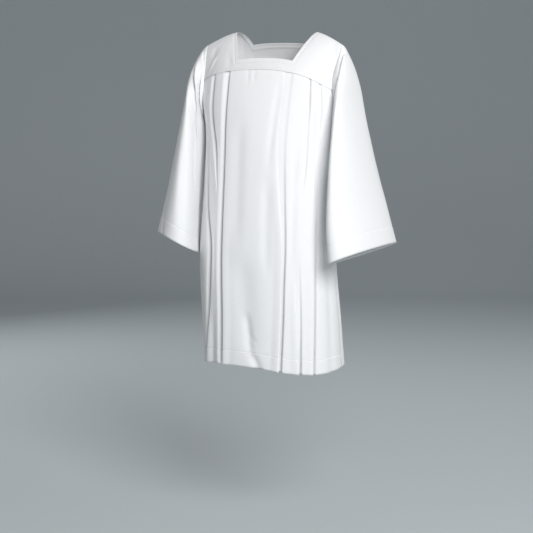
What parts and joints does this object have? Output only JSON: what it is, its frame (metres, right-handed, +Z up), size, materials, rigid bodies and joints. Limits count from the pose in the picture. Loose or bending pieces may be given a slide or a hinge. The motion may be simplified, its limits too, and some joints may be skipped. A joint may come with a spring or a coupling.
{
  "type": "surplice",
  "caption": "Square-yoked surplice in its worn form, hollow and open, with knife pleats and wide bell sleeves.",
  "frame": {"origin": "middle of the neck opening, at the height where the yoke bears on the wearer's shoulders", "axes": "+Z up, +X to the wearer's left, the front faces -Y"},
  "size_m": [0.7135, 0.3383, 0.9723],
  "materials": {
    "white_cloth": "matt plain-weave white polyester and cotton, pressed pleats"
  },
  "bodies": {
    "root": {"yoke_front": "white_cloth", "yoke_back": "white_cloth", "front_panel": "white_cloth", "back_panel": "white_cloth", "sleeve_left": "white_cloth", "sleeve_right": "white_cloth"}
  },
  "joints": []
}
